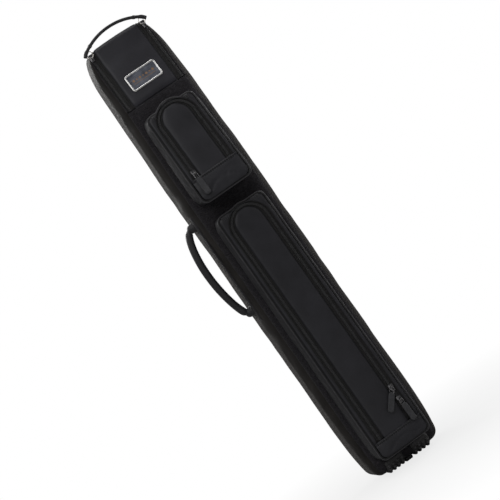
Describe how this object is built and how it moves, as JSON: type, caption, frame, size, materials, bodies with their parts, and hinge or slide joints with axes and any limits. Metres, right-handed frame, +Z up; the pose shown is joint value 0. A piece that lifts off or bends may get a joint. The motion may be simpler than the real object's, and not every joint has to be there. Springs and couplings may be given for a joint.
{
  "type": "soft cue case",
  "caption": "Upright soft case for billiard cues: tube-lined padded body, zipped fold-over lid, two box pockets with arched zip doors, side handle and studded rubber feet.",
  "frame": {"origin": "on the floor, below the middle of the padded body", "axes": "+Z up along the case; the pockets and lid face -Y; +X is the right seen from the front, so the side handle is on -X"},
  "size_m": [0.1745, 0.1407, 0.8845],
  "materials": {
    "black_fabric": "fine heathered weave, charcoal black",
    "side_softshell": "smooth padded brown-black cloth",
    "black_leather": "soft satin imitation leather, dark slate",
    "zip_tape": "woven tape with a nylon coil",
    "gunmetal": "dark plated die-cast metal",
    "nickel": "polished warm silver",
    "rubber": "matt moulded rubber",
    "tube_plastic": "plain black tube",
    "foam": "dense padding covered in knit lining"
  },
  "bodies": {
    "case": {"back_panel": "black_fabric", "base_cap": "black_fabric", "base_rib": "rubber", "body_zip_left": "zip_tape", "body_zip_right": "zip_tape", "butt_tube_1": "tube_plastic", "butt_tube_2": "tube_plastic", "butt_tube_3": "tube_plastic", "foot_left": "rubber", "foot_right": "rubber", "front_panel": "black_fabric", "handle_patch": "black_leather", "handle_tab_lower": "black_leather", "handle_tab_upper": "black_leather", "left_gusset": "side_softshell", "lower_pocket_base_band": "black_leather", "lower_pocket_door_foot": "black_leather", "lower_pocket_front": "black_leather", "lower_pocket_left_wall": "black_leather", "lower_pocket_right_wall": "black_leather", "lower_pocket_zip_outer": "zip_tape", "right_gusset": "side_softshell", "shaft_tube_1": "tube_plastic", "shaft_tube_2": "tube_plastic", "shaft_tube_3": "tube_plastic", "shaft_tube_4": "tube_plastic", "shaft_tube_5": "tube_plastic", "tube_base_pad": "foam", "tube_collar": "foam", "upper_pocket_base_band": "black_leather", "upper_pocket_door_foot": "black_leather", "upper_pocket_front": "black_leather", "upper_pocket_left_wall": "black_leather", "upper_pocket_right_wall": "black_leather", "upper_pocket_zip_outer": "zip_tape"},
    "flap": {"flap_panel": "black_leather", "flap_zip_left": "zip_tape", "flap_zip_right": "zip_tape", "nameplate_frame": "nickel", "nameplate_inlay": "gunmetal"},
    "flap_top": {"flap_top": "black_leather"},
    "lid_slider_left": {"flap_slider_left": "gunmetal"},
    "lid_slider_right": {"flap_slider_right": "gunmetal"},
    "strap": {"pull_strap": "black_leather", "strap_ring_left": "nickel", "strap_ring_right": "nickel"},
    "upper_door": {"upper_pocket_door": "black_leather", "upper_pocket_zip_inner": "zip_tape"},
    "upper_slider": {"upper_slider": "gunmetal"},
    "upper_pull": {"upper_pull_link": "gunmetal", "upper_pull_grip": "rubber"},
    "lower_door": {"lower_pocket_door": "black_leather", "lower_pocket_zip_inner": "zip_tape"},
    "lower_slider_a": {"lower_a_slider": "gunmetal"},
    "lower_pull_a": {"lower_a_pull_link": "gunmetal", "lower_a_pull_grip": "rubber"},
    "lower_slider_b": {"lower_b_slider": "gunmetal"},
    "lower_pull_b": {"lower_b_pull_link": "gunmetal", "lower_b_pull_grip": "rubber"},
    "handle": {"side_handle": "black_leather"}
  },
  "joints": [
    {"name": "flap_hinge", "type": "hinge", "parent": "case", "child": "flap", "pos_m": [0, -0.042, 0.7446], "axis": [1, 0, 0], "range_deg": [0, 110]},
    {"name": "flap_fold", "type": "hinge", "parent": "flap", "child": "flap_top", "pos_m": [0, -0.0125, 0.856], "axis": [-1, 0, 0], "range_deg": [0, 90]},
    {"name": "lid_slider_left_slide", "type": "slide", "parent": "case", "child": "lid_slider_left", "axis": [0, -0.1652, -0.9863], "range_m": [0, 0.098]},
    {"name": "lid_slider_right_slide", "type": "slide", "parent": "case", "child": "lid_slider_right", "axis": [0, -0.1652, -0.9863], "range_m": [0, 0.098]},
    {"name": "strap_swing", "type": "hinge", "parent": "lid_slider_left", "child": "strap", "pos_m": [0, -0.02775, 0.85509], "axis": [-1, 0, 0], "range_deg": [-130, 12]},
    {"name": "upper_door_hinge", "type": "hinge", "parent": "case", "child": "upper_door", "pos_m": [0, -0.08001, 0.60781], "axis": [1, 0, 0], "range_deg": [0, 110]},
    {"name": "upper_slider_slide", "type": "slide", "parent": "case", "child": "upper_slider", "axis": [0, 0.1262, 0.992], "range_m": [0, 0.078]},
    {"name": "upper_pull_swing", "type": "hinge", "parent": "upper_slider", "child": "upper_pull", "pos_m": [-0.033, -0.0853, 0.59793], "axis": [-1, 0, 0], "range_deg": [0, 150]},
    {"name": "lower_door_hinge", "type": "hinge", "parent": "case", "child": "lower_door", "pos_m": [0, -0.07738, 0.1363], "axis": [1, 0, 0], "range_deg": [0, 110]},
    {"name": "lower_slider_a_slide", "type": "slide", "parent": "case", "child": "lower_slider_a", "axis": [0, 0.0247, 0.9997], "range_m": [0, 0.35]},
    {"name": "lower_pull_a_swing", "type": "hinge", "parent": "lower_slider_a", "child": "lower_pull_a", "pos_m": [0.033, -0.08172, 0.12258], "axis": [-0.766, 0.0159, 0.6426], "range_deg": [0, 150]},
    {"name": "lower_slider_b_slide", "type": "slide", "parent": "case", "child": "lower_slider_b", "axis": [0, 0.0247, 0.9997], "range_m": [-0.024, 0.003]},
    {"name": "lower_pull_b_swing", "type": "hinge", "parent": "lower_slider_b", "child": "lower_pull_b", "pos_m": [0.033, -0.08228, 0.09959], "axis": [-1, 0, 0], "range_deg": [0, 100]},
    {"name": "handle_swing", "type": "hinge", "parent": "case", "child": "handle", "pos_m": [-0.0785, -0.008, 0.4415], "axis": [0, 0, 1], "range_deg": [-60, 60]}
  ],
  "couplings": [
    {"joint": "lid_slider_right_slide", "follows": "lid_slider_left_slide", "ratio": 1},
    {"joint": "flap_fold", "follows": "flap_hinge", "ratio": 0.8}
  ]
}
